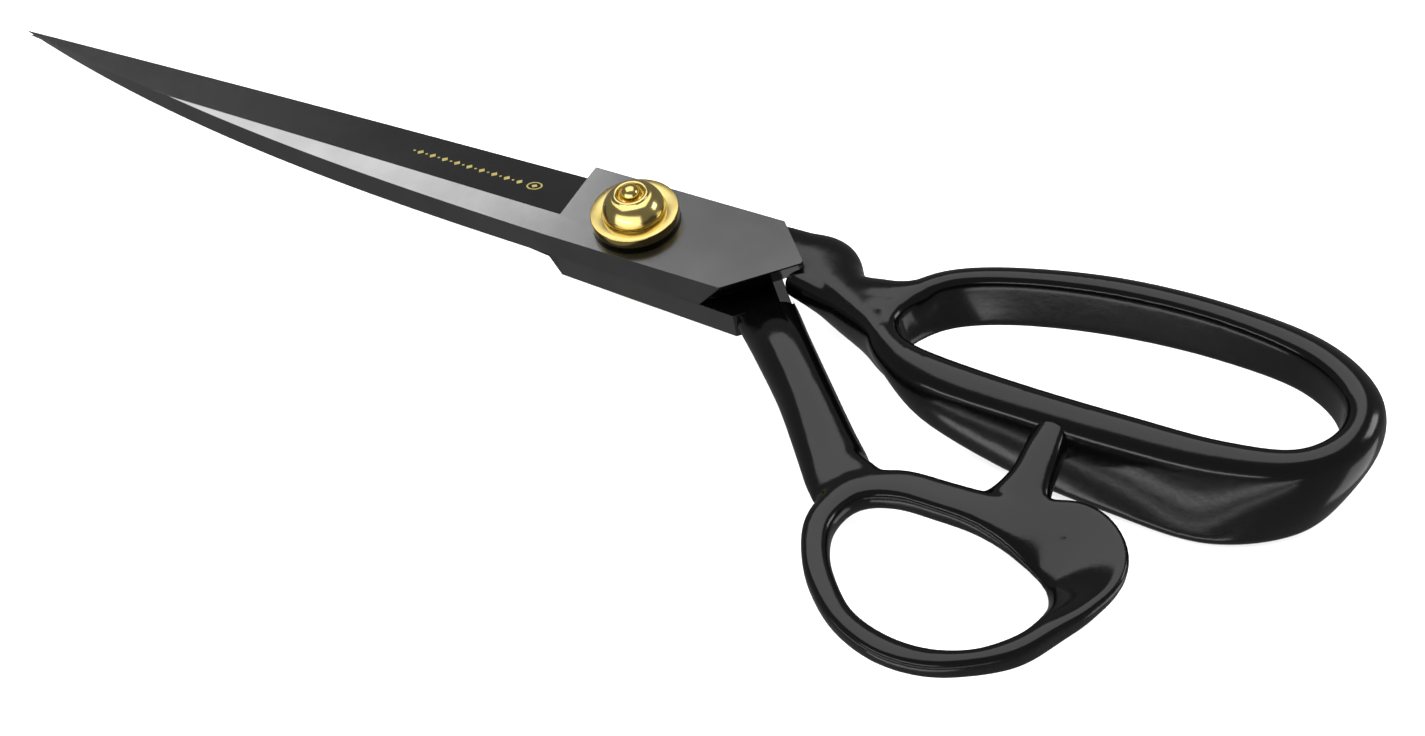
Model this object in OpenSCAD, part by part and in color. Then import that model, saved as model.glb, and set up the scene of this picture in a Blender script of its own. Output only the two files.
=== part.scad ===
// Fabric shears: two forged blade halves with cast handles, joined by a pivot screw and a dome nut.
// The blades point along -X and the handles along +X. The pivot axis is the Z axis.
// z = 0 is the surface that the closed shears lie on, under the screw head.

/* [Blades] */
// Height of the plane where the two blades meet
lap_z = 9; // [8:0.5:10]
// Gap between the two inner blade faces
blade_gap = 0.1; // [0.05:0.05:0.3]
// Thickness of each half at the pivot
ricasso_t = 4.5; // [4:0.25:5]
// Half of the width of each half at the pivot
ricasso_half_w = 8.2; // [7.5:0.1:9]
// Distance from the pivot axis to the point
blade_reach = 137.6; // [125:0.2:145]
// Thickness of the spine near the point
spine_t = 3.3; // [2.8:0.1:3.8]
// Thickness of the point itself
point_t = 0.8; // [0.6:0.1:1.2]
// Thickness left at the cutting edge
edge_t = 0.3; // [0.2:0.05:0.5]
// Angle of the outer bevel from the inner face
bevel_angle = 18.5; // [17.5:0.5:22]
// How far the lower half is turned back from the upper half when the shears are closed
closed_turn = 2.3; // [1:0.1:3]

/* [Pivot] */
// Diameter of the plain shoulder that the upper blade turns on
shoulder_d = 6; // [5:0.5:6.5]
// Radial clearance of the turning parts on the screw
run_clear = 0.05; // [0.02:0.01:0.1]
// Diameter of the threaded end
thread_d = 4; // [3.5:0.5:4.5]
// Side of the square neck that keys the screw into the lower blade
neck_side = 6.8; // [6.6:0.2:7.6]
// Diameter of the screw head
head_d = 11; // [9:0.5:12]
// Diameter of the steel washer under the screw head
head_washer_d = 13; // [12:0.5:14]
// Thickness of the steel washer under the screw head
head_washer_t = 1; // [0.8:0.1:1.4]
// Diameter of the brass washer under the nut
nut_washer_d = 14; // [13:0.5:15]
// Thickness of the brass washer
nut_washer_t = 1.7; // [1.4:0.1:2]
// Thickness of the dark friction washer on the upper blade
friction_washer_t = 0.5; // [0.3:0.1:0.6]
// Diameter of the nut at its foot
nut_d = 10; // [9:0.5:10.5]
// Height of the nut
nut_h = 4; // [3.5:0.25:4.5]

/* [Handles] */
// How far the outside of the finger bow's band swells
band_swell = 1.5; // [1:0.1:2]
// Length of the thumb hole
thumb_hole_l = 31.4; // [30.4:0.5:32.9]
// Width of the thumb hole
thumb_hole_w = 21.1; // [20.6:0.5:22.6]
// Width of the thumb bow's plain ring
thumb_ring_w = 3.3; // [3.1:0.1:4]
// How much wider the thumb rest is than the plain ring
thumb_rest_w = 9.8; // [8.8:0.5:10.8]
// Height of the thumb ring
thumb_ring_h = 4.6; // [4.2:0.2:5.4]

/* [Hidden] */
$fn = 64;

enamel = "#141414";
blued_steel = "#5c5c5c";
bright_steel = "#8a8a8a";
dark_steel = "#262626";
polished_brass = "#cda84a";

// The cutting edges: [height of the heel, point, how straight the spine tapers,
// where the thick part ends, how far its end leans back]
upper_edge = [9.1, [-blade_reach, 5.6], 0.42, -12.5, 3.1];
lower_edge = [8.8, [0.5 - blade_reach, 0.3], 1, -10.8, 1.1];
spine_break_x = -100;

// The pointed end of each half's thick part
nose_x = 28.6;
nose_y = 1.6;
nose_flat = 0.6;
relief_lean = 28;

// The flat tang that each handle is cast round: [start, angle] seen from outside
tang = [10, 5, 2];
upper_tang = [[25, 4.2], -14];
lower_tang = [[22.5, 2.6], 39];

stack_z = lap_z + ricasso_t;
nut_washer_z = stack_z + friction_washer_t;
seat_depth = 0.3;
nut_seat = nut_washer_z + nut_washer_t - seat_depth;
head_top = lap_z - ricasso_t - head_washer_t;

// Finger bow, round its middle line: [x, y, top, bottom, outward lean of the foot, thickness],
// heights from the lap plane
bow_rows = [
    [48.8, -8.2, 5.2, -2.6, -1, 3.8], [56, -10.4, 5.8, -5.4, 0.9, 4.9],
    [70, -11.1, 6, -8.4, 2.2, 5], [85, -10.9, 6, -9, 3.6, 5],
    [98, -10.2, 6, -9, 4.3, 4.5], [108, -7.5, 6, -8.4, 1.3, 3.8],
    [112.8, -1.1, 6, -6.4, -1.3, 3.8], [111.7, 6.2, 6, -4, 0, 4.4],
    [103.6, 11.8, 6, -3.6, 0.1, 4.2], [90, 13.8, 6, -4.2, 0, 3.6],
    [75, 13.2, 6, -4.8, 0.1, 3.5], [61, 10.1, 6, -4.8, 0, 3.2],
    [51.2, 6, 5.8, -4.2, -1, 3.2], [46.2, 0.6, 5.2, -3.4, -2, 3.6],
    [45.4, -4.6, 5, -2.8, -2, 3.6]
];

// Finger shank, from the blade to the bow: [x, y, top, bottom, width]
finger_shank_rows = [
    [20, 3.8, 3.9, 0.3, 10.4], [26, 4.3, 3.9, -0.5, 10], [30.4, 4.7, 4, -4.2, 10.8],
    [34, 2, 4.2, -4.8, 9], [38.6, -1.2, 4.6, -4.6, 7.2], [43.4, -4.6, 5, -4, 5.2],
    [48, -8.2, 5.2, -3.4, 4], [53, -10.2, 5.4, -3, 3]
];

// Web between the finger shank and the far side of the bow
finger_web_rows = [
    [36, 1.4, 3.8, -3.6, 5], [40.5, 0.4, 4.6, -3.4, 6], [45, 1.4, 5, -3.2, 5.4], [49, 4.4, 5.2, -3, 3.2]
];

// Thumb shank, from the blade to the ring
thumb_shank_rows = [
    [20.2, -1, -0.4, -4.4, 9.4], [25.6, -5.7, 0.8, -5.2, 9.6], [31, -10.8, 2.4, -6, 8.9],
    [38.2, -17.5, 2, -6, 8.6], [45, -24.4, 1.2, -5.4, 9.2], [49.8, -29.4, 0.8, -4.4, 9.9],
    [52.4, -33.2, 0.8, -3, 8.6]
];

// Web between the thumb shank and the far side of the ring
thumb_web_rows = [[49.5, -26.9, 0.6, -3.6, 4.4], [53.5, -28.6, 0.9, -3.2, 4.4], [58.5, -29.2, 1, -2.8, 3]];

// Closing stop, from the thumb ring up to the finger bow
stop_rows = [
    [75, -26.8, 0.6, -3.4, 12.2], [75.3, -24.4, 1.7, -3.6, 9], [75.6, -21, 3, -2.6, 6.4],
    [75.6, -16.2, 4.2, -1.4, 5.6]
];

// Edge of the thumb hole from its centre, and how much wider the ring is there: [x, y, extra]
thumb_centre = [70, -41.3];
thumb_ring_rows = [
    [15.1, -1.7, -0.5], [15.3, 2.5, -1.2], [13, 6.6, -1.1], [8, 8.9, 1.3], [1.5, 10.2, 1.7],
    [-4.5, 10.3, 1.8], [-10.4, 9.9, 1.7], [-14.8, 7.6, 1.2], [-16.1, 3.1, 0.9], [-14.7, -1.3, 0.6],
    [-11.7, -5.3, 0.5], [-7.2, -9.1, 0.2], [-1.5, -10.8, 0.3], [4.3, -10.6, 0], [9.5, -8.5, -0.4],
    [13.2, -5.1, -0.1]
];

// Size of the hole that the rows describe
hole_rows_l = 31.4;
hole_rows_w = 21.1;

// Top of the thumb ring over the lap plane, how much thinner it is on the near side, and its rest
thumb_top = 1.5;
ring_thin = 0.7;
rest_angle = 46;
rest_spread = 28;
rest_drop = 4.4;
rest_lift = 2.4;
rest_belly = 1.5;

// Stations between two control rows
steps = 5;

// A point on the smooth curve between p1 and p2
function blend_point(p0, p1, p2, p3, t) =
    0.5 * (2 * p1 + (p2 - p0) * t + (2 * p0 - 5 * p1 + 4 * p2 - p3) * t * t
        + (3 * p1 - p0 - 3 * p2 + p3) * t * t * t);

// Rows of a closed curve through the control rows
function closed_rows(rows) =
    let (n = len(rows))
    [for (i = [0 : n - 1], k = [0 : steps - 1])
        blend_point(rows[(i + n - 1) % n], rows[i], rows[(i + 1) % n], rows[(i + 2) % n],
            k / steps)];

// Rows of an open curve through the control rows
function open_rows(rows) =
    let (n = len(rows))
    [for (i = [0 : n - 2], k = [0 : (i == n - 2 ? steps : steps - 1)])
        blend_point(rows[max(i - 1, 0)], rows[i], rows[i + 1], rows[min(i + 2, n - 1)],
            k / steps)];

// Unit vector to the right of the way from a to b, in plan
function right_of(a, b) =
    let (d = [b.x - a.x, b.y - a.y])
    [d.y, -d.x] / norm(d);

// Section of a band: round edges top and bottom, the outer flank swelling and the foot leaning
// outwards. [across, height]
function band_section(w, top, bottom, swell, lean) =
    let (r = w / 2, mid = (top + bottom) / 2, half = (top - bottom) / 2,
        flank = [-0.6, -0.2, 0.2, 0.6] * (half - r),
        right = [for (z = flank) [r, mid + z]],
        over = [for (a = [0 : 30 : 180]) [r * cos(a), top - r + r * sin(a)]],
        left = [for (z = flank) [-r, mid - z]],
        under = [for (a = [180 : 30 : 360]) [r * cos(a), bottom + r + r * sin(a)]])
    [for (p = concat(right, over, left, under))
        [p.x + swell * max(0, p.x / r) * (1 - pow((p.y - mid) / half, 2))
            + lean * pow((top - p.y) / (top - bottom), 2), p.y]];

// Section of a bar: a superellipse. [across, height]
function bar_section(w, top, bottom) =
    [for (a = [0 : 15 : 345])
        [w / 2 * sign(cos(a)) * pow(abs(cos(a)), 0.8),
            (top + bottom) / 2 + (top - bottom) / 2 * sign(sin(a)) * pow(abs(sin(a)), 0.8)]];

// Section of the thumb ring from the hole outwards: a rounded rectangle whose top is dished
// down to the hole and whose underside rises, both by the share called rest. [across, height]
function ring_section(w, h, rest) =
    let (r = min(1.8, w / 2 - 0.05),
        corners = [[w - r, h - r, 0], [r, h - r, 90], [r, r, 180], [w - r, r, 270]],
        flat = [0.25, 0.5, 0.75],
        box = [for (i = [0 : 3])
            let (c = corners[i], d = corners[(i + 1) % 4])
            each concat(
                [for (a = [0 : 22.5 : 90]) [c.x + r * cos(c.z + a), c.y + r * sin(c.z + a)]],
                i % 2 == 0
                    ? [for (s = flat) [c.x + (d.x - c.x) * s, c.y + (i == 0 ? r : -r)]]
                    : [])])
    [for (p = box)
        let (out = p.x / w, up = p.y / h)
        [p.x, thumb_top - h + p.y - rest * rest_drop * up * pow(1 - out, 1.4)
            + rest * rest_lift * (1 - up) * out
            - rest * rest_belly * (1 - up) * pow(1 - out, 2)]];

// Stand a section up at a place, across the unit vector side
function placed(section, at, side) =
    [for (p = section) [at.x + side.x * p.x, at.y + side.y * p.x, p.y]];

// Rings of a bar along its rows
function bar_rings(rows) =
    let (path = open_rows(rows), n = len(path))
    [for (i = [0 : n - 1])
        placed(bar_section(path[i][4], path[i][2], path[i][3]), path[i],
            right_of(path[max(i - 1, 0)], path[min(i + 1, n - 1)]))];

// A closed or open skin over rings of equal size
module skin(rings, closed) {
    n = len(rings);
    m = len(rings[0]);
    walls = [for (i = [0 : closed ? n - 1 : n - 2], j = [0 : m - 1], second = [false, true])
        let (a = i * m + j, b = i * m + (j + 1) % m,
            c = ((i + 1) % n) * m + (j + 1) % m, d = ((i + 1) % n) * m + j)
        second ? [a, c, d] : [a, b, c]];
    caps = closed ? []
        : [[for (j = [m - 1 : -1 : 0]) j], [for (j = [0 : m - 1]) (n - 1) * m + j]];
    polyhedron(points = [for (ring = rings, p = ring) p], faces = concat(walls, caps), convexity = 8);
}

// Share of the root width left at u, from 0 at the ricasso to 1 at the point
function taper(u, straight) = 1 - straight * u - (1 - straight) * pow(u, 2.5);

// The chamfered end of a half, seen from outside
function nose_points(w) = [
    [nose_x - w + nose_y, w], [nose_x, nose_y], [nose_x, nose_y - nose_flat],
    [nose_x - w - nose_y + nose_flat, -w]
];

// Outline of one half, seen from outside with its cutting edge on the +Y side
module half_outline(edge) {
    heel = edge[0];
    point = edge[1];
    plunge_x = edge[3];
    run = plunge_x - point.x;
    spine = [for (u = [0 : 0.05 : 0.96])
        [plunge_x - u * run,
            heel + (point.y - heel) * u - (heel + ricasso_half_w) * taper(u, edge[2])]];
    polygon(concat(
        nose_points(ricasso_half_w),
        spine,
        [point, [plunge_x - edge[4], heel], [plunge_x, ricasso_half_w]]));
}

// Side view of one half: level thick part, falling spine, thin point
module half_profile(point_x, plunge_x) {
    polygon([
        [point_x - 1, blade_gap / 2], [point_x - 1, point_t], [point_x, point_t],
        [spine_break_x, spine_t], [plunge_x, ricasso_t], [nose_x + 1, ricasso_t],
        [nose_x + 1, blade_gap / 2]
    ]);
}

// What grinding takes off the cutting-edge side, with a leaning end at the thick part
module bevel_cut(edge) {
    reach = 40;
    rise = reach * tan(bevel_angle);
    length = blade_reach + 20;
    heel = edge[0];
    point = edge[1];
    plunge_x = edge[3];
    plunge_lean = edge[4];
    translate([plunge_x, heel, edge_t])
        rotate([0, 0, atan((heel - point.y) / (plunge_x - point.x))])
            difference() {
                translate([-length, 0, 0])
                    rotate([90, 0, 90])
                        linear_extrude(length)
                            polygon([[8, 0], [0, 0], [-reach, rise], [-reach, rise + 9], [8, rise + 9]]);
                translate([-plunge_lean, -2 * reach, 0])
                    rotate([0, atan(plunge_lean / (ricasso_t - edge_t)), 0])
                        translate([0, 0, -reach])
                            cube([reach, 4 * reach, 3 * reach]);
            }
}

// What is cut away under the free chamfer, to clear the other half's shank
module relief_cut() {
    size = 40;
    translate([nose_x, nose_y - nose_flat, ricasso_t - 0.3])
        rotate([0, 0, -45])
            rotate([0, relief_lean, 0])
                translate([0, -size / 2, -size])
                    cube(size);
}

module tang_bar(place) {
    translate([place[0].x, place[0].y, 1])
        rotate([0, 0, place[1]])
            translate([-tang.x / 4, -tang.y / 2, 0])
                cube(tang);
}

// One half lying with its outer face up and its inner face just over z = 0
module half_blade(edge, place) {
    difference() {
        intersection() {
            linear_extrude(ricasso_t)
                half_outline(edge);
            translate([0, 60, 0])
                rotate([90, 0, 0])
                    linear_extrude(120)
                        half_profile(edge[1].x, edge[3]);
        }
        bevel_cut(edge);
        relief_cut();
    }
    tang_bar(place);
}

// The space that the thick end of a half and its tang take out of its handle
module socket_cut(place) {
    translate([0, 0, -20])
        linear_extrude(40)
            polygon(concat([[0, -ricasso_half_w], [0, ricasso_half_w]], nose_points(ricasso_half_w)));
    tang_bar(place);
}

// Turn the lower half over and back to its closed place
module lower_side() {
    translate([0, 0, lap_z])
        rotate([180, 0, -closed_turn])
            children();
}

module upper_blade() {
    color(blued_steel)
        difference() {
            translate([0, 0, lap_z])
                half_blade(upper_edge, upper_tang);
            translate([0, 0, lap_z - 1])
                cylinder(d = shoulder_d + 2 * run_clear, h = ricasso_t + 2);
        }
}

module lower_blade() {
    color(blued_steel)
        difference() {
            lower_side()
                half_blade(lower_edge, lower_tang);
            translate([-neck_side / 2, -neck_side / 2, lap_z - ricasso_t - 1])
                cube([neck_side, neck_side, ricasso_t + 2]);
        }
}

module finger_handle() {
    bow = closed_rows(bow_rows);
    n = len(bow);
    rings = [for (i = [0 : n - 1])
        let (row = bow[i])
        placed(band_section(row[5], row[2], row[3], band_swell, row[4]), row,
            right_of(bow[(i + n - 1) % n], bow[(i + 1) % n]))];
    color(enamel)
        resize([0, 0, 0])
            difference() {
                translate([0, 0, lap_z]) {
                    skin(rings, true);
                    skin(bar_rings(finger_shank_rows), false);
                    skin(bar_rings(finger_web_rows), false);
                }
                translate([0, 0, lap_z])
                    socket_cut(upper_tang);
            }
}

// Where the thumb hole's edge lies, for a row of the ring
function hole_edge(row) =
    [thumb_centre.x + row.x * thumb_hole_l / hole_rows_l,
        thumb_centre.y + row.y * thumb_hole_w / hole_rows_w];

// Share of the thumb rest at an angle round the ring
function rest_share(a) =
    let (d = (a - rest_angle + 540) % 360 - 180)
    exp(-pow(d / rest_spread, 2));

module thumb_handle() {
    rows = closed_rows(thumb_ring_rows);
    n = len(rows);
    ring = [for (i = [0 : n - 1])
        let (a = i * 360 / n,
            rest = rest_share(a),
            w = thumb_ring_w + rows[i].z + thumb_rest_w * rest,
            h = thumb_ring_h - ring_thin * max(0, -sin(a)),
            out = right_of(rows[(i + n - 1) % n], rows[(i + 1) % n]))
        placed(ring_section(w, h, rest), hole_edge(rows[i]), out)];
    color(enamel)
        resize([0, 0, 0])
            difference() {
                translate([0, 0, lap_z]) {
                    skin(ring, true);
                    skin(bar_rings(thumb_shank_rows), false);
                    skin(bar_rings(thumb_web_rows), false);
                    skin(bar_rings(stop_rows), false);
                }
                lower_side()
                    socket_cut(lower_tang);
            }
}

module pivot_screw() {
    end_r = 1.5;
    color(polished_brass) {
        rotate_extrude()
            polygon(concat(
                [[0, 0], [2.5, 0]],
                [for (a = [-75 : 15 : 0])
                    [head_d / 2 - 3.2 + 3.2 * cos(a), 2.4 + 2.4 * sin(a)]],
                [[head_d / 2, head_top], [0, head_top]]));
        translate([-neck_side / 2, -neck_side / 2, head_top])
            cube([neck_side, neck_side, lap_z - blade_gap / 2 - head_top]);
        translate([0, 0, head_top])
            cylinder(d = shoulder_d, h = stack_z - 0.1 - head_top);
        translate([0, 0, head_top])
            cylinder(d = thread_d, h = nut_seat + 2.8 - head_top);
        translate([0, 0, nut_seat + 3.7])
            sphere(r = end_r);
    }
}

// A flat ring with a small chamfer round its top
module washer(outer_d, bore_d, thickness) {
    chamfer = 0.2;
    rotate_extrude()
        polygon([
            [bore_d / 2, 0], [outer_d / 2, 0], [outer_d / 2, thickness - chamfer],
            [outer_d / 2 - chamfer, thickness], [bore_d / 2, thickness]
        ]);
}

module head_washer() {
    color(bright_steel)
        difference() {
            translate([0, 0, head_top])
                washer(head_washer_d, 2, head_washer_t);
            translate([-neck_side / 2, -neck_side / 2, head_top - 1])
                cube([neck_side, neck_side, head_washer_t + 2]);
        }
}

module friction_washer() {
    color(dark_steel)
        translate([0, 0, stack_z])
            washer(nut_washer_d, thread_d + 2 * run_clear, friction_washer_t);
}

module nut_washer() {
    seat_d = nut_d + 0.6;
    color(polished_brass)
        difference() {
            translate([0, 0, nut_washer_z])
                washer(nut_washer_d, thread_d + 2 * run_clear, nut_washer_t);
            translate([0, 0, nut_seat])
                cylinder(d = seat_d, h = 1);
        }
}

module pivot_nut() {
    foot_r = nut_d / 2;
    rim_r = 2.9;
    lip_r = 0.4;
    recess_z = 2;
    bore_r = thread_d / 2 + run_clear;
    side = [for (a = [8 : 12 : 80])
        [rim_r + (foot_r - rim_r) * pow(cos(a), 1.25), 0.2 + (nut_h - lip_r - 0.2) * pow(sin(a), 1.1)]];
    lip = [for (a = [30 : 30 : 180])
        [rim_r - lip_r + lip_r * cos(a), nut_h - lip_r + lip_r * sin(a)]];
    color(polished_brass)
        translate([0, 0, nut_seat])
            rotate_extrude()
                polygon(concat(
                    [[bore_r, 0], [foot_r - 0.2, 0]],
                    side,
                    lip,
                    [[rim_r - 2 * lip_r, recess_z], [bore_r, recess_z]]));
}

upper_blade();
finger_handle();
lower_blade();
thumb_handle();
pivot_screw();
head_washer();
friction_washer();
nut_washer();
pivot_nut();
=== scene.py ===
"""Fabric shears: two satin steel blade halves with cast black handles and a brass pivot nut.

Lengths are written in millimetres, in the part's own frame, and turned into metres when a
mesh is finished. Heights in the handle tables are measured from the lap plane, where the
two blades meet.
"""
import math

import bmesh
import bpy
import numpy as np
from mathutils import Matrix, Vector


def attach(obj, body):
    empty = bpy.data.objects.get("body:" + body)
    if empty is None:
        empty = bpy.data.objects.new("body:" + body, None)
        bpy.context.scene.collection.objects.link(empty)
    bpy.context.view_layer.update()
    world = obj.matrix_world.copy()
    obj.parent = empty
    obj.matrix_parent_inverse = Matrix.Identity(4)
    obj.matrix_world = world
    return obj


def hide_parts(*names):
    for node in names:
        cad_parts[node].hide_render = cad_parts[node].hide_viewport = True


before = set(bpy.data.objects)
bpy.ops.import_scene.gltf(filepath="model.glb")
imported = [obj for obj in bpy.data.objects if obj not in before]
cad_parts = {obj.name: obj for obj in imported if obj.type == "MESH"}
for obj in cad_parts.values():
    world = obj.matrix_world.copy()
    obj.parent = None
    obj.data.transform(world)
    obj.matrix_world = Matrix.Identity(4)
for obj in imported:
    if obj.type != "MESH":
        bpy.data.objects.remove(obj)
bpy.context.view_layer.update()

MM = 0.001
UP = Vector((0, 0, 1))

# Blades
LAP_Z = 9.0
BLADE_GAP = 0.1
RICASSO_T = 4.5
RICASSO_HALF_W = 8.2
BLADE_REACH = 137.6
SPINE_BREAK_X = -100.0
SPINE_T = 3.3
POINT_T = 0.8
EDGE_T = 0.3
EDGE_BELLY = 0.35
SPINE_DRAFT = 0.13
SIDE_FLARE = 0.7
EDGE_ROUND = 0.07
RIDGE_LIMIT = 12
SMALL_EDGE = 0.04
MARK_AT = (-8.9, 6.4)
MARK_COUNT = 9
BEVEL_ANGLE = math.radians(18.6)
CLOSED_TURN = math.radians(2.3)
NOSE_X, NOSE_Y, NOSE_FLAT = 28.6, 1.6, 0.6
RELIEF_LEAN = math.radians(28)
# height of the heel, point, share of the taper that is straight, end of the thick part, its lean
UPPER_EDGE = (9.1, (-BLADE_REACH, 5.6), 0.42, -12.5, 3.1)
LOWER_EDGE = (8.8, (0.5 - BLADE_REACH, 0.3), 1.0, -10.8, 1.1)

# Handles
FINGER_BOW = (  # x, y, top, bottom, outward lean of the foot, thickness
    (48.8, -8.2, 5.2, -2.6, -1, 3.8), (56, -10.4, 5.8, -5.4, 0.9, 4.9),
    (70, -11.1, 6, -8.4, 2.2, 5), (85, -10.9, 6, -8.95, 3.6, 5),
    (98, -10.2, 6, -8.95, 4.3, 4.5), (108, -7.5, 6, -8.4, 1.3, 3.8),
    (112.8, -1.1, 6, -6.4, -1.3, 3.8), (111.7, 6.2, 6, -4, 0, 4.4),
    (103.6, 11.8, 6, -3.6, 0.1, 4.2), (90, 13.8, 6, -4.2, 0, 3.6),
    (75, 13.2, 6, -4.8, 0.1, 3.5), (61, 10.1, 6, -4.8, 0, 3.2),
    (51.2, 6, 5.8, -4.2, -1, 3.2), (46.2, 0.6, 5.2, -3.4, -2, 3.6),
    (45.4, -4.6, 5, -2.8, -2, 3.6),
)
FINGER_SHANK = (  # x, y, top, bottom, width
    (20, 3.8, 3.9, 0.3, 10.4), (26, 4.3, 3.9, -0.5, 10), (30.4, 4.7, 4, -4.2, 10.8),
    (34, 2, 4.2, -4.8, 9), (38.6, -1.2, 4.6, -4.6, 7.2), (43.4, -4.6, 5, -4, 5.2),
    (48, -8.2, 5.2, -3.4, 4), (53, -10.2, 5.4, -3, 3),
)
FINGER_FILL = ((26.5, 1, 3.2, -2.4, 4), (31, 0, 3.4, -2.8, 4.4), (36, -1.4, 3.6, -3.2, 4.4),
               (40.5, -2, 4.7, -3.2, 5.4), (45.6, -1.6, 5.2, -3, 5))
FINGER_WEB = (
    (35, 1.4, 3.8, -3.6, 5), (40.5, 0.2, 4.8, -3.4, 7.6), (45, 1.2, 5.2, -3.2, 6.6),
    (49, 4.2, 5.4, -3, 4),
)
THUMB_SHANK = (
    (20.2, -1, -0.4, -4.4, 9.4), (25.6, -5.7, 0.8, -5.2, 9.6), (31, -10.8, 2.4, -6, 8.9),
    (38.2, -17.5, 2, -6, 8.6), (45, -24.4, 1.3, -5.4, 9.2), (49.8, -29.4, 1.1, -4.4, 9.9),
    (52.4, -33.2, 1.1, -3, 8.6),
)
THUMB_WEB = (
    (49.5, -26.9, 0.9, -3.6, 4.4), (53.5, -28.6, 1.2, -3.2, 4.4), (58.5, -29.6, 1.2, -2.8, 3),
)
STOP = (
    (75, -26.8, 0.8, -3.4, 12.2), (75.3, -24.4, 1.7, -3.6, 9), (75.6, -21, 3, -2.6, 6.4),
    (75.6, -17, 4.2, -1.6, 5.8), (75.6, -12.6, 4.8, -1, 5),
)
STOP_WEB = ((78.6, -24.4, 0.8, -3, 3), (81, -25.8, 0.8, -3.2, 3.6), (83.8, -27.6, 0.4, -3, 3))
STOP_GAP = 0.2
# where the castings have fillets: x, y, height, reach
FINGER_FILLETS = ((43, -1.5, 4.5, 6), (44, -4, 2, 12), (52, -10, 0, 8), (32, 1, 0, 5))
THUMB_FILLETS = ((52, -31, 0, 9), (50.5, -34, 0, 5), (76, -28, 0, 9), (83, -35, 0, 9))
BAND_SWELL = 1.5
THUMB_CENTRE = (70, -41.3)
THUMB_RING = (  # edge of the thumb hole from its centre, and how much wider the ring is there
    (15.1, -1.7, -0.5), (15.3, 2.5, -1.2), (13, 6.6, -1.1), (8, 8.9, 1.3),
    (1.5, 10.2, 1.7), (-4.5, 10.3, 1.8), (-10.4, 9.9, 1.7), (-14.8, 7.6, 1.2),
    (-16.1, 3.1, 0.9), (-14.7, -1.3, 0.6), (-11.7, -5.3, 0.5), (-7.2, -9.1, 0.2),
    (-1.5, -10.8, 0.3), (4.3, -10.6, 0), (9.5, -8.5, -0.4), (13.2, -5.1, -0.1),
)
THUMB_RING_W = 3.3
RING_THIN = 0.7
THUMB_RING_H = 4.6
THUMB_TOP = 1.5
REST_W, REST_ANGLE, REST_SPREAD = 9.8, 46.0, 28.0
REST_DROP, REST_LIFT, REST_BELLY = 4.4, 2.4, 1.5

# Pivot, heights from the floor
STACK_Z = LAP_Z + RICASSO_T
FRICTION_WASHER_T = 0.5
NUT_WASHER_D, NUT_WASHER_T = 14.0, 1.7
NUT_WASHER_Z = STACK_Z + FRICTION_WASHER_T
SEAT_DEPTH = 0.3
NUT_SEAT = NUT_WASHER_Z + NUT_WASHER_T - SEAT_DEPTH
NUT_D, NUT_H = 10.0, 4.0
HEAD_D = 11.0
HEAD_WASHER_D, HEAD_WASHER_T = 13.0, 1.0
HEAD_TOP = LAP_Z - RICASSO_T - HEAD_WASHER_T
NECK_SIDE = 6.8
SHOULDER_D, THREAD_D = 6.0, 4.0
RUN_CLEAR = 0.05


# ---------------------------------------------------------------- meshes

def make_object(name, points, faces):
    """A new mesh object with its points in millimetres."""
    mesh = bpy.data.meshes.new(name)
    mesh.from_pydata([tuple(p) for p in points], [], faces)
    mesh.update()
    obj = bpy.data.objects.new(name, mesh)
    bpy.context.scene.collection.objects.link(obj)
    return obj


def remove(obj):
    mesh = obj.data
    bpy.data.objects.remove(obj)
    bpy.data.meshes.remove(mesh)


def apply_modifiers(obj):
    """Turn what the modifiers make into the object's own mesh."""
    graph = bpy.context.evaluated_depsgraph_get()
    mesh = bpy.data.meshes.new_from_object(obj.evaluated_get(graph))
    old = obj.data
    obj.modifiers.clear()
    obj.data = mesh
    bpy.data.meshes.remove(old)
    return obj


def boolean(obj, cutter, operation):
    """Cut, join or keep the common part exactly; the cutter is used up."""
    mod = obj.modifiers.new("boolean", "BOOLEAN")
    mod.operation = operation
    mod.solver = "EXACT"
    mod.object = cutter
    apply_modifiers(obj)
    remove(cutter)
    return obj


def prism(outline, low, high, name="prism"):
    """An upright prism over a counter-clockwise outline."""
    n = len(outline)
    points = [(x, y, z) for z in (low, high) for x, y in outline]
    faces = [list(range(n - 1, -1, -1)), list(range(n, 2 * n))]
    faces += [[i, (i + 1) % n, n + (i + 1) % n, n + i] for i in range(n)]
    return make_object(name, points, faces)


def loft_prism(lower, upper, low, high, name):
    """An upright solid between two outlines of equal length."""
    n = len(lower)
    points = [(x, y, low) for x, y in lower] + [(x, y, high) for x, y in upper]
    faces = [list(range(n - 1, -1, -1)), list(range(n, 2 * n))]
    faces += [[i, (i + 1) % n, n + (i + 1) % n, n + i] for i in range(n)]
    return make_object(name, points, faces)


def box(low, high, name="box"):
    x0, y0, z0 = low
    x1, y1, z1 = high
    return prism([(x0, y0), (x1, y0), (x1, y1), (x0, y1)], z0, z1, name)


def lathe(name, profile, segments=128):
    """A closed solid turned about Z from a counter-clockwise profile of (radius, height)."""
    points, rings = [], []
    for r, z in profile:
        if r < 1e-6:
            rings.append([len(points)] * segments)
            points.append((0, 0, z))
            continue
        rings.append(list(range(len(points), len(points) + segments)))
        for k in range(segments):
            a = 2 * math.pi * k / segments
            points.append((r * math.cos(a), r * math.sin(a), z))
    faces = []
    for i, ring in enumerate(rings):
        after = rings[(i + 1) % len(rings)]
        for k in range(segments):
            m = (k + 1) % segments
            face = [ring[k], ring[m], after[m], after[k]]
            face = [v for j, v in enumerate(face) if v != face[j - 1]]
            if len(face) > 2:
                faces.append(face)
    return make_object(name, points, faces)


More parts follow.
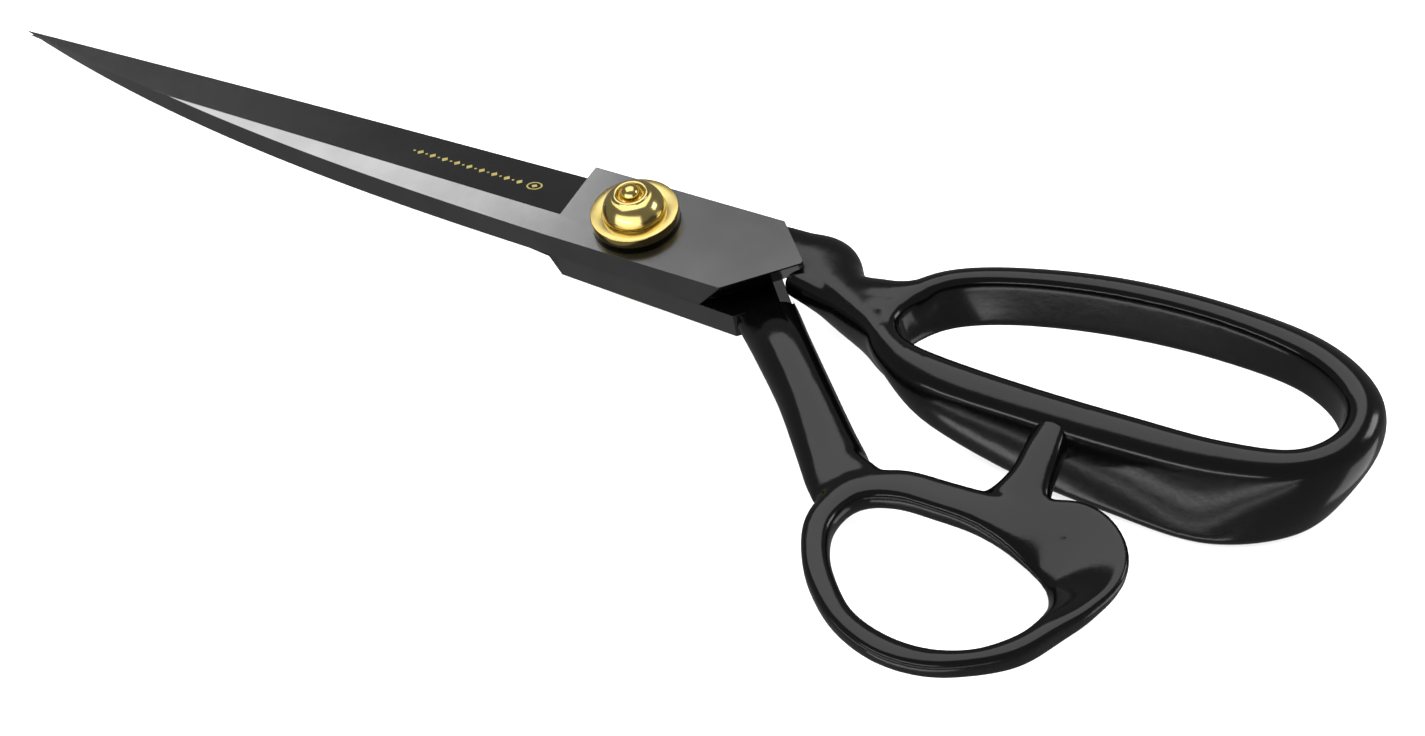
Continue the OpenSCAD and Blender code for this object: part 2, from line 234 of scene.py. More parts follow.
def sweep(name, rings, closed):
    """A skin over rings of equal size."""
    n, m = len(rings), len(rings[0])
    points = [p for ring in rings for p in ring]
    faces = []
    for i in range(n if closed else n - 1):
        j = (i + 1) % n
        for k in range(m):
            k2 = (k + 1) % m
            faces.append([i * m + k, i * m + k2, j * m + k2, j * m + k])
    if not closed:
        faces.append(list(range(m - 1, -1, -1)))
        faces.append([(n - 1) * m + k for k in range(m)])
    return make_object(name, points, faces)


def round_edges(obj, width, segments=3, angle=25):
    """Small rounded edges wherever two faces meet at more than the angle."""
    mod = obj.modifiers.new("edges", "BEVEL")
    mod.width = width
    mod.segments = segments
    mod.limit_method = "ANGLE"
    mod.angle_limit = math.radians(angle)
    mod.use_clamp_overlap = True
    return apply_modifiers(obj)


def clean(obj, distance=1e-4):
    """Merge doubled points and drop faces and edges of no size."""
    bm = bmesh.new()
    bm.from_mesh(obj.data)
    bmesh.ops.remove_doubles(bm, verts=bm.verts, dist=distance)
    bmesh.ops.dissolve_degenerate(bm, edges=bm.edges, dist=distance)
    bmesh.ops.recalc_face_normals(bm, faces=bm.faces)
    bm.to_mesh(obj.data)
    bm.free()
    return obj


def finish_piece(obj, node, body, material, smooth_angle=35, flat=False):
    """Metres, smooth shading, its material, its body and the CAD node it stands for."""
    obj.data.transform(Matrix.Scale(MM, 4))
    obj.data.update()
    obj.data.materials.clear()
    obj.data.materials.append(material)
    obj.data.polygons.foreach_set("use_smooth", [True] * len(obj.data.polygons))
    obj.data.set_sharp_from_angle(angle=math.radians(smooth_angle))
    if flat:
        mod = obj.modifiers.new("normals", "WEIGHTED_NORMAL")
        mod.weight = 100
        mod.keep_sharp = True
    if node:
        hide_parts(node)
    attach(obj, body)
    return obj


# ---------------------------------------------------------------- curves

def catmull(p0, p1, p2, p3, t):
    return 0.5 * (2 * p1 + (p2 - p0) * t + (2 * p0 - 5 * p1 + 4 * p2 - p3) * t * t
                  + (3 * p1 - p0 - 3 * p2 + p3) * t * t * t)


def curve_rows(rows, steps, closed):
    """Rows on the smooth curve through the control rows."""
    rows = np.array(rows, float)
    n = len(rows)
    out = []
    for i in range(n if closed else n - 1):
        pick = [(i + d) % n if closed else min(max(i + d, 0), n - 1) for d in (-1, 0, 1, 2)]
        out += [catmull(*rows[pick], k / steps) for k in range(steps)]
    if not closed:
        out.append(rows[-1])
    return np.array(out)


def sides(path, closed):
    """Unit vectors to the right of the way along the path, in plan."""
    n = len(path)
    out = []
    for i in range(n):
        a = path[i - 1] if closed else path[max(i - 1, 0)]
        b = path[(i + 1) % n] if closed else path[min(i + 1, n - 1)]
        d = b[:2] - a[:2]
        out.append(np.array([d[1], -d[0]]) / np.hypot(*d))
    return out


def placed(section, at, side, lift=LAP_Z):
    """Stand a section of (across, height) up at a place, across the unit vector side."""
    return [(at[0] + side[0] * u, at[1] + side[1] * u, v + lift) for u, v in section]


def super_ellipse(w, top, bottom, power=0.8, count=48):
    out = []
    for k in range(count):
        c, s = math.cos(2 * math.pi * k / count), math.sin(2 * math.pi * k / count)
        out.append((w / 2 * math.copysign(abs(c) ** power, c),
                    (top + bottom) / 2 + (top - bottom) / 2 * math.copysign(abs(s) ** power, s)))
    return out


def band_section(w, top, bottom, swell, lean, count=10):
    """Round edges top and bottom, the outer flank swelling and the foot leaning outwards."""
    r, mid, half = w / 2, (top + bottom) / 2, (top - bottom) / 2
    flank = np.linspace(-1, 1, count + 2)[1:-1] * (half - r)
    arc = np.radians(np.linspace(0, 180, 13))
    points = [(r, mid + z) for z in flank]
    points += [(r * math.cos(a), top - r + r * math.sin(a)) for a in arc]
    points += [(-r, mid - z) for z in flank]
    points += [(-r * math.cos(a), bottom + r - r * math.sin(a)) for a in arc]
    return [(u + swell * max(0, u / r) * (1 - ((v - mid) / half) ** 2)
             + lean * ((top - v) / (top - bottom)) ** 2, v) for u, v in points]


def bar_rings(rows, steps=12, power=0.8):
    path = curve_rows(rows, steps, False)
    return [placed(super_ellipse(p[4], p[2], p[3], power), p, s)
            for p, s in zip(path, sides(path, False))]


def fuse(name, parts, voxel=0.3, passes=12):
    """Join swept parts into one skin and let the joints flow together."""
    bm = bmesh.new()
    for part in parts:
        bm.from_mesh(part.data)
        remove(part)
    mesh = bpy.data.meshes.new(name)
    bm.to_mesh(mesh)
    bm.free()
    obj = bpy.data.objects.new(name, mesh)
    bpy.context.scene.collection.objects.link(obj)
    mod = obj.modifiers.new("skin", "REMESH")
    mod.mode = "VOXEL"
    mod.voxel_size = voxel
    mod.adaptivity = 0
    mod = obj.modifiers.new("smooth", "SMOOTH")
    mod.factor = 0.5
    mod.iterations = passes
    return apply_modifiers(obj)


def soften_near(obj, places, passes=40):
    """Extra smoothing round the places (x, y, height over the lap plane, reach)."""
    mesh = obj.data
    co = np.empty(len(mesh.vertices) * 3)
    mesh.vertices.foreach_get("co", co)
    co = co.reshape(-1, 3)
    weight = np.zeros(len(co))
    for x, y, z, reach in places:
        d = np.linalg.norm(co - (x, y, LAP_Z + z), axis=1) / reach
        weight = np.maximum(weight, np.clip(1.5 - 1.5 * d, 0, 1))
    group = obj.vertex_groups.new(name="fillet")
    for level in range(1, 11):
        chosen = np.nonzero(np.round(weight * 10) == level)[0]
        if len(chosen):
            group.add(chosen.tolist(), level / 10, "REPLACE")
    mod = obj.modifiers.new("fillet", "SMOOTH")
    mod.factor = 0.5
    mod.iterations = passes
    mod.vertex_group = "fillet"
    apply_modifiers(obj)
    obj.vertex_groups.clear()
    return obj


# ---------------------------------------------------------------- blades

def nose_points(w):
    """The handle end of a half's thick part, with its chamfers."""
    return [(NOSE_X - w + NOSE_Y, w), (NOSE_X, NOSE_Y), (NOSE_X, NOSE_Y - NOSE_FLAT),
            (NOSE_X - w - NOSE_Y + NOSE_FLAT, -w)]


def half_outline(edge, straight, flare):
    """Outline of one half, seen from outside with its cutting edge on the +Y side."""
    heel, point, _, plunge_x, lean = edge
    run = plunge_x - point[0]
    spine = []
    for u in np.linspace(0, 0.97, 60):
        left = 1 - straight * u - (1 - straight) * u ** 2.5
        spine.append((plunge_x - u * run,
                      heel + (point[1] - heel) * u - (heel + RICASSO_HALF_W) * left))
    edge_line = [(point[0] + (plunge_x - lean - point[0]) * t,
                  point[1] + (heel - point[1]) * t + EDGE_BELLY * math.sin(math.pi * t))
                 for t in np.linspace(0, 1, 40)]
    nose = nose_points(RICASSO_HALF_W)
    nose[-1] = (nose[-1][0], nose[-1][1] - flare)
    outline = nose + spine
    outline += edge_line + [(plunge_x, RICASSO_HALF_W)]
    return outline[::-1]


def half_profile(edge):
    """Side view of one half."""
    gap, point_x, plunge_x = BLADE_GAP / 2, edge[1][0], edge[3]
    return [(point_x - 1, gap), (NOSE_X + 1, gap), (NOSE_X + 1, RICASSO_T), (plunge_x, RICASSO_T),
            (SPINE_BREAK_X, SPINE_T), (point_x, POINT_T), (point_x - 1, POINT_T)]


def bevel_cutter(edge):
    """What grinding takes off the cutting-edge side, with a leaning end at the thick part."""
    heel, point, _, plunge_x, plunge_lean = edge
    reach, rise = 40, 40 * math.tan(BEVEL_ANGLE)
    section = [(8, -8 * math.tan(BEVEL_ANGLE)), (8, rise + 9), (-reach, rise + 9), (-reach, rise), (0, 0)]
    length = BLADE_REACH + 20
    n = len(section)
    lean = math.atan(plunge_lean / (RICASSO_T - EDGE_T))
    points = [(x, y, z) for x in (-length, 0) for y, z in section]
    end = n
    points = [(x - plunge_lean + z * math.tan(lean) if i >= end else x, y, z)
              for i, (x, y, z) in enumerate(points)]
    faces = [list(range(n)), list(range(2 * n - 1, n - 1, -1))]
    faces += [[i, n + i, n + (i + 1) % n, (i + 1) % n] for i in range(n)]
    cutter = make_object("cutter", points, faces)
    clean(cutter)
    turn = math.atan((heel - point[1]) / (plunge_x - point[0]))
    cutter.data.transform(Matrix.Translation((plunge_x, heel, EDGE_T)) @ Matrix.Rotation(turn, 4, "Z"))
    return cutter


def relief_cutter():
    """What is cut away under the free chamfer, to clear the other half's shank."""
    size = 40
    cutter = box((0, -size / 2, -size), (size, size / 2, 0))
    place = (Matrix.Translation((NOSE_X, NOSE_Y - NOSE_FLAT, RICASSO_T - 0.3))
             @ Matrix.Rotation(-math.pi / 4, 4, "Z") @ Matrix.Rotation(RELIEF_LEAN, 4, "Y"))
    cutter.data.transform(place)
    return cutter


def half_blade(name, edge, flare):
    """One half lying with its outer face up and its inner face just over z = 0."""
    inner, outer = half_outline(edge, edge[2] - SPINE_DRAFT, flare), half_outline(edge, edge[2], 0)
    obj = loft_prism(inner, outer, 0, RICASSO_T, name)
    side_view = prism(half_profile(edge), -60, 60, "side_view")
    side_view.data.transform(Matrix.Rotation(math.pi / 2, 4, "X"))
    boolean(obj, clean(side_view), "INTERSECT")
    boolean(obj, bevel_cutter(edge), "DIFFERENCE")
    boolean(obj, relief_cutter(), "DIFFERENCE")
    return clean(obj)


def lower_side(obj):
    """Turn the lower half over and back to its closed place."""
    obj.data.transform(Matrix.Translation((0, 0, LAP_Z)) @ Matrix.Rotation(-CLOSED_TURN, 4, "Z")
                       @ Matrix.Rotation(math.pi, 4, "X"))
    return obj


def enamel_painted_shade(obj, enamel, chosen):
    """Black enamel on the faces chosen by place (mm) and normal: painted shade on the upper half's free
    chamfer and on the lower half's steel in the recess past it, and on the end faces that go into the
    casting.
    """
    obj.data.materials.append(enamel)
    for face in obj.data.polygons:
        if chosen(face.center / MM, face.normal):
            face.material_index = 1
    return obj


def beyond_chamfer(place):
    """How far a place lies past the upper half's free chamfer."""
    return (place[0] - NOSE_X - place[1] + NOSE_Y - NOSE_FLAT) * math.sqrt(0.5)


def upper_blade(material, enamel):
    obj = half_blade("upper_blade_half", UPPER_EDGE, SIDE_FLARE)
    obj.data.transform(Matrix.Translation((0, 0, LAP_Z)))
    bore_r = SHOULDER_D / 2 + RUN_CLEAR
    low, high = LAP_Z - 1, STACK_Z + 1
    bore = lathe("bore", [(0, low), (bore_r, low), (bore_r, high), (0, high)])
    boolean(obj, bore, "DIFFERENCE")
    round_edges(clean(obj, SMALL_EDGE), EDGE_ROUND, 3, RIDGE_LIMIT)
    finish_piece(obj, "upper_blade", "finger_half", material, 60, True)
    # Painted shade: the upper half's free chamfer and end faces are enamelled black to stand for the shade
    # under the chamfer.
    return enamel_painted_shade(obj, enamel, lambda place, normal: place[0] > 15 and normal.x - normal.y > 0.5)


def lower_blade(material, enamel):
    obj = lower_side(half_blade("lower_blade_half", LOWER_EDGE, 0))
    s = NECK_SIDE / 2
    boolean(obj, box((-s, -s, 0), (s, s, LAP_Z + 1)), "DIFFERENCE")
    round_edges(clean(obj, SMALL_EDGE), EDGE_ROUND, 3, RIDGE_LIMIT)
    # Split the faces along the upper half's free chamfer, where the painted shade starts.
    bm = bmesh.new()
    bm.from_mesh(obj.data)
    bmesh.ops.bisect_plane(bm, geom=bm.verts[:] + bm.edges[:] + bm.faces[:],
                           plane_co=(NOSE_X, NOSE_Y - NOSE_FLAT, LAP_Z), plane_no=(1, -1, 0))
    bm.to_mesh(obj.data)
    bm.free()
    finish_piece(obj, "lower_blade", "thumb_half", material, 60, True)
    # Painted shade: the lower half's steel past the upper half's free chamfer is enamelled black to stand
    # for the shade of the recess there; its end faces past x = 15 mm are enamelled too.
    return enamel_painted_shade(obj, enamel, lambda place, normal: (
        beyond_chamfer(place) > 0 and normal.y > -0.8 or place[0] > 15 and normal.x > 0.5))


def ornament(material):
    """A plain printed mark on the upper bevel: a ring round a lozenge, and a fading row of lozenges."""
    heel, point, _, plunge_x, _ = UPPER_EDGE
    print_t = 0.02
    slope = math.tan(BEVEL_ANGLE)
    points, faces = [], []

    def plate(outline, hole=None):
        start, n = len(points), len(outline)
        for lift in (-print_t, print_t):
            for loop in (outline, hole or []):
                points.extend((u, -d, EDGE_T + d * slope + lift) for u, d in loop)
        if hole is None:
            faces.append([start + k for k in range(n)])
            faces.append([start + n + k for k in range(n - 1, -1, -1)])
            faces.extend([start + k, start + n + k, start + n + (k + 1) % n, start + (k + 1) % n]
                         for k in range(n))
            return
        for k in range(n):
            m = (k + 1) % n
            low_out, low_in, top_out, top_in = (start + j * n for j in range(4))
            faces.append([low_out + k, low_out + m, low_in + m, low_in + k])
            faces.append([top_out + k, top_in + k, top_in + m, top_out + m])
            faces.append([low_out + k, top_out + k, top_out + m, low_out + m])
            faces.append([low_in + k, low_in + m, top_in + m, top_in + k])

    def lozenge(u, d, half_u, half_d):
        plate([(u + half_u, d), (u, d + half_d), (u - half_u, d), (u, d - half_d)])

    turn = np.linspace(0, 2 * math.pi, 48, endpoint=False)
    u0, d0 = MARK_AT
    plate([(u0 + 1.3 * math.cos(a), d0 + 1.3 * math.sin(a)) for a in turn],
          [(u0 + 1.02 * math.cos(a), d0 + 1.02 * math.sin(a)) for a in turn])
    lozenge(u0, d0, 0.55, 0.62)
    for k in range(MARK_COUNT):
        t = k / (MARK_COUNT - 1)
        lozenge(u0 - 2.9 - 20.2 * t, d0 - 0.95 * t, 0.55, 0.78)
        lozenge(u0 - 4.15 - 20.2 * t, d0 - 0.05 - 0.95 * t, 0.26, 0.3)
    obj = make_object("blade_mark", points, faces)
    slant = math.atan((heel - point[1]) / (plunge_x - point[0]))
    obj.data.transform(Matrix.Translation((plunge_x, heel, LAP_Z)) @ Matrix.Rotation(slant, 4, "Z"))
    clean(obj, 1e-5)
    return finish_piece(obj, None, "finger_half", material)


# ---------------------------------------------------------------- handles

def socket_cutter():
    """The space that the thick end of a half takes out of its handle."""
    outline = [(0, -RICASSO_HALF_W), (0, RICASSO_HALF_W)] + nose_points(RICASSO_HALF_W)
    return prism(outline[::-1], -20, 20, "socket")


def bow_rings(gap):
    """The finger bow's skin, or the space it takes with a gap all round."""
    path = curve_rows(FINGER_BOW, 16, True)
    return [placed(band_section(p[5] + 2 * gap, p[2] + gap, p[3] - gap, BAND_SWELL, p[4]), p, s)
            for p, s in zip(path, sides(path, True))]


def finger_handle(material):
    parts = [sweep("bow", bow_rings(0), True), sweep("shank", bar_rings(FINGER_SHANK), False),
             sweep("web", bar_rings(FINGER_WEB), False), sweep("fill", bar_rings(FINGER_FILL), False)]
    obj = fuse("finger_handle_casting", parts)
    soften_near(obj, FINGER_FILLETS)
    socket = socket_cutter()
    socket.data.transform(Matrix.Translation((0, 0, LAP_Z)))
    boolean(obj, socket, "DIFFERENCE")
    return finish_piece(obj, "finger_handle", "finger_half", material, 40)


def rest_share(degrees):
    """How far the ring is thumb rest at an angle, from 0 to 1."""
    d = (degrees - REST_ANGLE + 180) % 360 - 180
    return math.exp(-(d / REST_SPREAD) ** 2)


def ring_section(w, h, rest, fine=8):
    """The thumb ring from the hole outwards: a rounded rectangle, dished towards the hole."""
    corners = [(w - 1.3, h - 1.3, 0, 1.3), (1.6, h - 1.6, 90, 1.6),
               (1.5, 1.5, 180, 1.5), (w - 1.3, 1.3, 270, 1.3)]
    loop = []
    for i, (cx, cy, start, r) in enumerate(corners):
        for a in np.radians(np.linspace(start, start + 90, fine)):
            loop.append((cx + r * math.cos(a), cy + r * math.sin(a)))
        if i % 2 == 0:
            nx, ny, _, nr = corners[(i + 1) % 4]
            x0, y0 = loop[-1]
            x1, y1 = (nx, ny + nr) if i == 0 else (nx, ny - nr)
            loop += [(x0 + (x1 - x0) * t, y0 + (y1 - y0) * t) for t in np.linspace(0, 1, 14)[1:-1]]
    out = []
    for x, y in loop:
        across, up = x / w, y / h
        drop = rest * REST_DROP * up * max(0, 1 - across) ** 1.4
        lift = rest * REST_LIFT * (1 - up) * across
        belly = rest * REST_BELLY * (1 - up) * max(0, 1 - across) ** 2
        out.append((x, THUMB_TOP - h + y - drop + lift - belly))
    return out


def thumb_handle(material):
    rings = []
    path = curve_rows(THUMB_RING, 15, True)
    for k, (p, out) in enumerate(zip(path, sides(path, True))):
        degrees = 360 * k / len(path)
        rest = rest_share(degrees)
        width = THUMB_RING_W + p[2] + REST_W * rest
        height = THUMB_RING_H - RING_THIN * max(0, -math.sin(math.radians(degrees)))
        rings.append(placed(ring_section(width, height, rest),
                            (THUMB_CENTRE[0] + p[0], THUMB_CENTRE[1] + p[1]), out))
    parts = [sweep("ring", rings, True), sweep("shank", bar_rings(THUMB_SHANK, power=1), False),
             sweep("web", bar_rings(THUMB_WEB), False),
             sweep("stop", bar_rings(STOP), False), sweep("stop_web", bar_rings(STOP_WEB), False)]
    obj = fuse("thumb_handle_casting", parts)
    soften_near(obj, THUMB_FILLETS)
    boolean(obj, lower_side(socket_cutter()), "DIFFERENCE")
    boolean(obj, sweep("bow_space", bow_rings(STOP_GAP), True), "DIFFERENCE")
    return finish_piece(obj, "thumb_handle", "thumb_half", material, 40)


# ---------------------------------------------------------------- pivot

def arc(cx, cz, r, start, stop, count=8):
    turn = np.radians(np.linspace(start, stop, count))
    return [(cx + r * math.cos(a), cz + r * math.sin(a)) for a in turn]


def pivot_nut(material):
    foot, rim, lip = NUT_D / 2, 2.9, 0.4
    top, recess = NUT_H, 2.8
    bore = THREAD_D / 2 + RUN_CLEAR
    side = []
    for t in np.linspace(0, 1, 28):
        a = math.radians(8 + 74 * t)
        side.append((rim + (foot - rim) * math.cos(a) ** 1.25,
                     0.2 + (top - lip - 0.2) * math.sin(a) ** 1.1))
    profile = [(bore, 0), (foot - 0.2, 0), (foot - 0.04, 0.08)] + side
    profile += arc(rim - lip, top - lip, lip, 10, 180, 12)
    profile += [(rim - 2 * lip - 0.02, recess + 0.2), (rim - 2 * lip - 0.12, recess), (bore, recess - 0.02)]
    obj = lathe("pivot_dome_nut", [(r, z + NUT_SEAT) for r, z in profile], 160)
    return finish_piece(clean(obj), "pivot_nut", "tension_nut", material, 40)


def nut_washer(material):
    r, t, seat = NUT_WASHER_D / 2, NUT_WASHER_T, NUT_D / 2 + 0.08
    bore = THREAD_D / 2 + RUN_CLEAR
    profile = [(bore, 0), (r - 0.15, 0), (r, 0.15)]
    profile += arc(r - 0.14, t - 0.14, 0.14, 0, 90, 6)
    profile += arc(seat + 0.05, t - 0.05, 0.05, 90, 180, 4)
    profile += [(seat, t - SEAT_DEPTH), (bore, t - SEAT_DEPTH)]
    obj = lathe("nut_seat_washer", [(q, z + NUT_WASHER_Z) for q, z in profile], 192)
    return finish_piece(clean(obj), "nut_washer", "thumb_half", material, 40, True)


def friction_washer(material):
    r, t = NUT_WASHER_D / 2 - 0.05, FRICTION_WASHER_T
    bore = THREAD_D / 2 + RUN_CLEAR
    profile = [(bore, 0), (r, 0), (r, t), (bore, t)]
    obj = lathe("friction_disc", [(q, z + STACK_Z) for q, z in profile], 160)
    return finish_piece(clean(obj), "friction_washer", "thumb_half", material, 30)


def head_washer(material):
    r, t = HEAD_WASHER_D / 2, HEAD_WASHER_T
    profile = [(0, 0), (r - 0.15, 0), (r, 0.15), (r, t - 0.15), (r - 0.15, t), (0, t)]
    obj = clean(lathe("screw_head_washer", [(q, z + HEAD_TOP) for q, z in profile], 160))
    s = NECK_SIDE / 2
    boolean(obj, box((-s, -s, HEAD_TOP - 1), (s, s, HEAD_TOP + t + 1)), "DIFFERENCE")
    return finish_piece(clean(obj), "head_washer", "thumb_half", material, 30)


def pivot_screw(material):
    flat, edge_r, edge_z = 2.5, 3.2, 2.4
    profile = [(0, 0), (flat, 0)]
    profile += [(HEAD_D / 2 - edge_r + edge_r * math.cos(a), edge_z + edge_z * math.sin(a))
                for a in np.radians(np.linspace(-75, 0, 16))]
    profile += [(HEAD_D / 2, HEAD_TOP), (0, HEAD_TOP)]
    obj = clean(lathe("pivot_screw_set", profile, 160))
    s = NECK_SIDE / 2
    boolean(obj, box((-s, -s, HEAD_TOP - 0.5), (s, s, LAP_Z - BLADE_GAP / 2)), "UNION")
    end_r, end_z = 1.5, NUT_SEAT + 3.7
    shaft = [(0, HEAD_TOP), (SHOULDER_D / 2, HEAD_TOP), (SHOULDER_D / 2, STACK_Z - 0.1)]
    shaft += [(THREAD_D / 2, STACK_Z - 0.1), (THREAD_D / 2, NUT_SEAT + 2.8)]
    shaft += arc(0, end_z, end_r, -30, 90, 20)
    boolean(obj, clean(lathe("shaft", shaft, 96)), "UNION")
    slot_w, slot_d = 1.2, 1.3
    boolean(obj, box((-7, -slot_w / 2, -1), (7, slot_w / 2, slot_d)), "DIFFERENCE")
    round_edges(obj, 0.08, 2, 40)
    return finish_piece(clean(obj), "pivot_screw", "thumb_half", material, 35)


# ---------------------------------------------------------------- materials

def new_material(name):
    material = bpy.data.materials.new(name)
    material.use_nodes = True
    tree = material.node_tree
    return material, tree, tree.nodes["Principled BSDF"]


def noise(tree, scale, stretch=(1, 1, 1), detail=3.0, vector=None):
    """Noise in the part's own frame; scale is in cycles per millimetre."""
    if vector is None:
        vector = tree.nodes.new("ShaderNodeTexCoord").outputs["Object"]
    mapping = tree.nodes.new("ShaderNodeMapping")
    mapping.inputs["Scale"].default_value = [s / MM for s in stretch]
    tree.links.new(vector, mapping.inputs["Vector"])
    node = tree.nodes.new("ShaderNodeTexNoise")
    node.inputs["Scale"].default_value = scale
    node.inputs["Detail"].default_value = detail
    tree.links.new(mapping.outputs["Vector"], node.inputs["Vector"])
    return node.outputs["Fac"]


def spread(tree, value, low, high):
    """Bring a 0 to 1 value into a range."""
    node = tree.nodes.new("ShaderNodeMapRange")
    node.inputs["From Min"].default_value = 0.3
    node.inputs["From Max"].default_value = 0.7
    node.inputs["To Min"].default_value = low
    node.inputs["To Max"].default_value = high
    tree.links.new(value, node.inputs["Value"])
    return node.outputs["Result"]


def tint(tree, value, dark, light):
    node = tree.nodes.new("ShaderNodeValToRGB")
    node.color_ramp.elements[0].position = 0.3
    node.color_ramp.elements[1].position = 0.7
    node.color_ramp.elements[0].color = (*dark, 1)
    node.color_ramp.elements[1].color = (*light, 1)
    tree.links.new(value, node.inputs["Fac"])
    return node.outputs["Color"]


def bump(tree, height, depth, normal=None):
    """Bump of a height in millimetres."""
    node = tree.nodes.new("ShaderNodeBump")
    node.inputs["Strength"].default_value = 1.0
    node.inputs["Distance"].default_value = depth * MM
    tree.links.new(height, node.inputs["Height"])
    if normal is not None:
        tree.links.new(normal, node.inputs["Normal"])
    return node.outputs["Normal"]


def blade_steel():
    """Dark satin steel with a fine grind across the blade."""
    material, tree, shader = new_material("blade_steel")
    grind = noise(tree, 1.0, (7.0, 0.5, 0.5), 4)
    cloud = noise(tree, 0.12, (1, 1, 1), 2)
    shader.inputs["Metallic"].default_value = 1.0
    tone = tint(tree, cloud, (0.092, 0.092, 0.093), (0.108, 0.108, 0.109))
    tree.links.new(tone, shader.inputs["Base Color"])
    tree.links.new(spread(tree, grind, 0.17, 0.22), shader.inputs["Roughness"])
    tree.links.new(bump(tree, grind, 0.0007), shader.inputs["Normal"])
    return material


def black_enamel():
    """Gloss black enamel over cast metal, with the faint waviness of a coat put on by dipping."""
    material, tree, shader = new_material("black_enamel")
    wave = noise(tree, 0.35, (1, 1, 1), 2)
    fine = noise(tree, 2.5, (1, 1, 1), 2)
    shader.inputs["Base Color"].default_value = (0.002, 0.002, 0.0021, 1)
    shader.inputs["IOR"].default_value = 1.5
    tree.links.new(spread(tree, fine, 0.12, 0.18), shader.inputs["Roughness"])
    tree.links.new(bump(tree, wave, 0.02), shader.inputs["Normal"])
    return material


def polished_brass():
    material, tree, shader = new_material("polished_brass")
    cloud = noise(tree, 0.3, (1, 1, 1), 2)
    turning = noise(tree, 6.0, (1, 1, 1), 2)
    shader.inputs["Metallic"].default_value = 1.0
    tree.links.new(tint(tree, cloud, (0.70, 0.54, 0.19), (0.80, 0.64, 0.24)), shader.inputs["Base Color"])
    tree.links.new(spread(tree, turning, 0.15, 0.20), shader.inputs["Roughness"])
    return material


def gold_print():
    """Thin gold print, a little uneven in tone."""
    material, tree, shader = new_material("gold_print")
    cloud = noise(tree, 1.5, (1, 1, 1), 2)
    shader.inputs["Metallic"].default_value = 0.3
    tree.links.new(tint(tree, cloud, (0.75, 0.60, 0.16), (0.95, 0.82, 0.30)), shader.inputs["Base Color"])
    tree.links.new(spread(tree, cloud, 0.35, 0.5), shader.inputs["Roughness"])
    return material


def plain_steel(name, shade, rough):
    material, tree, shader = new_material(name)
    grain = noise(tree, 3.0, (1, 1, 1), 3)
    shader.inputs["Metallic"].default_value = 1.0
    tree.links.new(tint(tree, grain, (shade * 0.9,) * 3, (shade,) * 3), shader.inputs["Base Color"])
    tree.links.new(spread(tree, grain, rough - 0.04, rough + 0.04), shader.inputs["Roughness"])
    return material


# ---------------------------------------------------------------- studio

def camera():
    """Above and in front of the handles, looking along the blades, rolled a little."""
    turn, rise, roll = math.radians(37.754), math.radians(47.02), math.radians(-11.522)
    offset = Vector((-11.276, -20.143, 332.55))
    back = Vector((math.sin(turn) * math.cos(rise), -math.cos(turn) * math.cos(rise), math.sin(rise)))
    right = (-back).cross(UP).normalized()
    down = (-back).cross(right)
    look = Matrix((right, down, -back))
    look = Matrix.Rotation(roll, 3, "Z") @ look
    place = -(look.transposed() @ offset) + Vector((0, 0, LAP_Z))
    axes = Matrix((look[0], -look[1], -look[2])).transposed()
    data = bpy.data.cameras.new("camera")
    data.sensor_width = 36.0
    data.lens = 53.3
    data.clip_start, data.clip_end = 0.01, 20
    obj = bpy.data.objects.new("camera", data)
    bpy.context.scene.collection.objects.link(obj)
    obj.matrix_world = Matrix.Translation(place * MM) @ axes.to_4x4()
    bpy.context.scene.camera = obj
    return obj


def area_light(name, direction, distance, size, power, target=(10, 0, 5)):
    """A softbox at a direction and distance (mm) from the target, facing it."""
    data = bpy.data.lights.new(name, "AREA")
    data.shape = "RECTANGLE"
    data.size, data.size_y = size[0] * MM, size[1] * MM
    data.energy = power
    obj = bpy.data.objects.new(name, data)
    bpy.context.scene.collection.objects.link(obj)
    way = Vector(direction).normalized()
    obj.location = (Vector(target) + way * distance) * MM
    obj.rotation_mode = "QUATERNION"
    obj.rotation_quaternion = way.to_track_quat("Z", "Y")
    return obj


def aimed_light(name, direction, distance, size, power, target, receivers, blockers=None):
    """A softbox that only the receivers see; only the blockers, if given, shade it."""
    lamp = area_light(name, direction, distance, size, power, target)
    group = bpy.data.collections.new(name + "_receivers")
    for obj in receivers:
        group.objects.link(obj)
    lamp.light_linking.receiver_collection = group
    if blockers:
        shade = bpy.data.collections.new(name + "_blockers")
        for obj in blockers:
            shade.objects.link(obj)
        lamp.light_linking.blocker_collection = shade
    return lamp


def floor():
    """A pale floor that mirror rays do not see."""
    size = 3000
    corners = [(-size, -size, 0), (size, -size, 0), (size, size, 0), (-size, size, 0)]
    obj = make_object("floor", corners, [[0, 1, 2, 3]])
    obj.data.transform(Matrix.Scale(MM, 4))
    material, _, shader = new_material("pale_floor")
    shader.inputs["Base Color"].default_value = (0.9, 0.9, 0.9, 1)
    shader.inputs["Roughness"].default_value = 0.9
    shader.inputs["Specular IOR Level"].default_value = 0.0
    obj.data.materials.append(material)
    obj.visible_glossy = False
    return obj


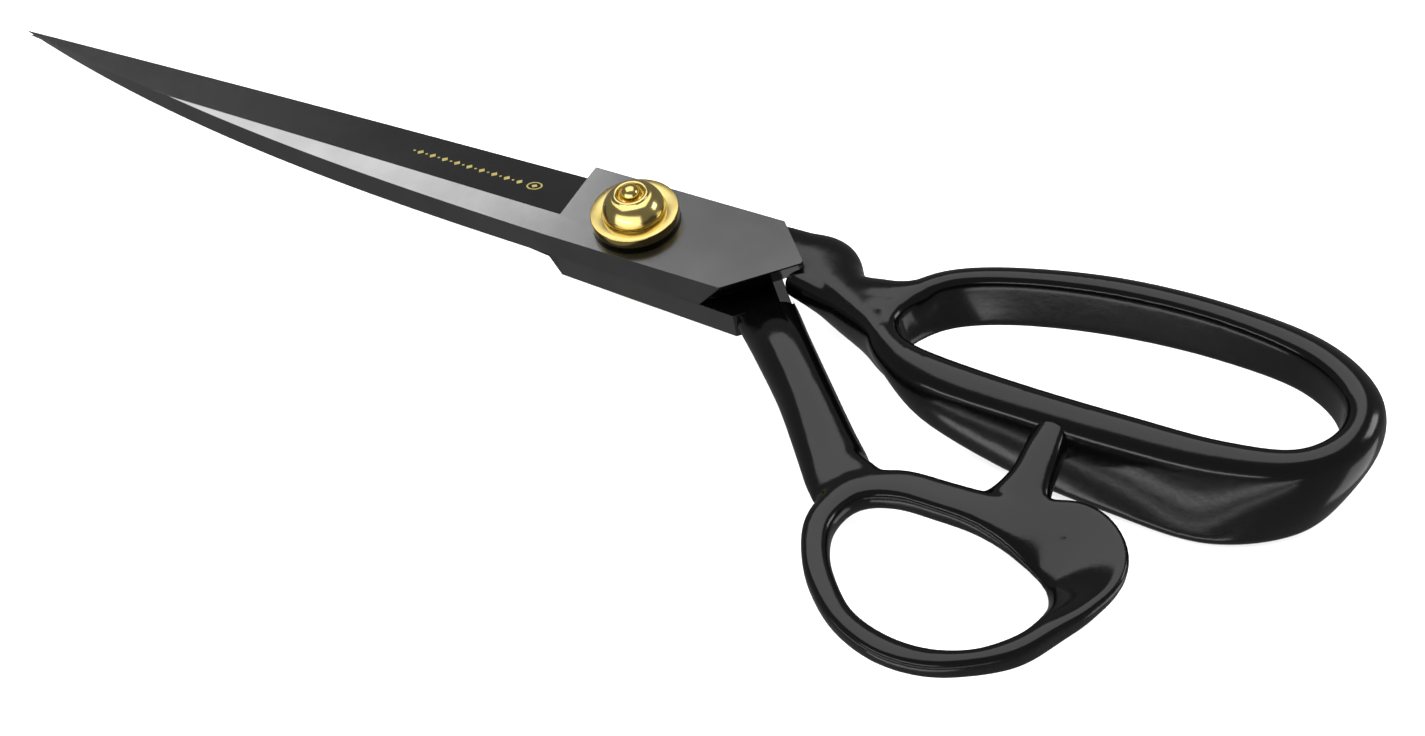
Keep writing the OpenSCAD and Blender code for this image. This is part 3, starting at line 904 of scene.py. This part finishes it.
def studio():
    """Soft general light, and a lamp for the floor alone so that nothing casts a shadow on it."""
    scene = bpy.context.scene
    scene.view_settings.view_transform = "Standard"
    world = bpy.data.worlds.new("studio")
    scene.world = world
    world.use_nodes = True
    background = world.node_tree.nodes["Background"]
    background.inputs["Color"].default_value = (1, 1, 1, 1)
    background.inputs["Strength"].default_value = 0.18
    ground = floor()
    area_light("overhead", (-0.15, 0.2, 0.95), 1200, (2000, 1600), 15)
    area_light("right_back", (0.8, 0.55, 0.25), 700, (260, 200), 0.6)
    area_light("front_strip", (-0.15, -1, 0.12), 700, (700, 60), 0.6, (80, 0, 5))
    fill = area_light("floor_fill", (0, 0, 1), 1500, (3000, 3000), 85)
    fill.visible_glossy = False
    bare = bpy.data.collections.new("floor_only")
    bare.objects.link(ground)
    fill.light_linking.blocker_collection = bare
    fill.light_linking.receiver_collection = bare


def build():
    """Every piece, and the cards that give the blades, the handles and the brass their highlights."""
    steel = blade_steel()
    enamel = black_enamel()
    brass = polished_brass()
    dark = plain_steel("dark_steel", 0.05, 0.3)
    washer_steel = plain_steel("washer_steel", 0.5, 0.25)
    blades = [upper_blade(steel, enamel), lower_blade(steel, enamel)]
    ornament(gold_print())
    handles = [finger_handle(enamel), thumb_handle(enamel)]
    fittings = [pivot_screw(brass), nut_washer(brass), pivot_nut(brass)]
    head_washer(washer_steel)
    friction_washer(dark)
    aimed_light("blade_box", (-0.66, 0.52, 0.54), 640, (330, 300), 1.9, (-84, 0, 4), blades)
    aimed_light("floor_bounce", (-0.4, -0.5, -0.7), 400, (1200, 1200), 0.8, (-20, 0, 5), blades, blades)
    aimed_light("end_card", (0.69, 0.3, -0.65), 300, (180, 120), 0.07, (100, -12, 8), handles, blades)
    aimed_light("wall_strip", (-0.12, -0.92, -0.31), 500, (1200, 26), 0.3, (82, -15, 9), handles, blades)
    aimed_light("wall_strip_low", (-0.1, -0.9, -0.43), 500, (1000, 14), 0.12, (82, -15, 7), handles, blades)
    aimed_light("inner_strip", (-0.06, -0.74, -0.66), 500, (420, 60), 0.16, (75, 11, 13), handles, blades)
    aimed_light("brass_card", (0.15, -0.95, 0.1), 500, (1000, 460), 2.2, (0, 0, 16), fittings)


camera()
studio()
build()
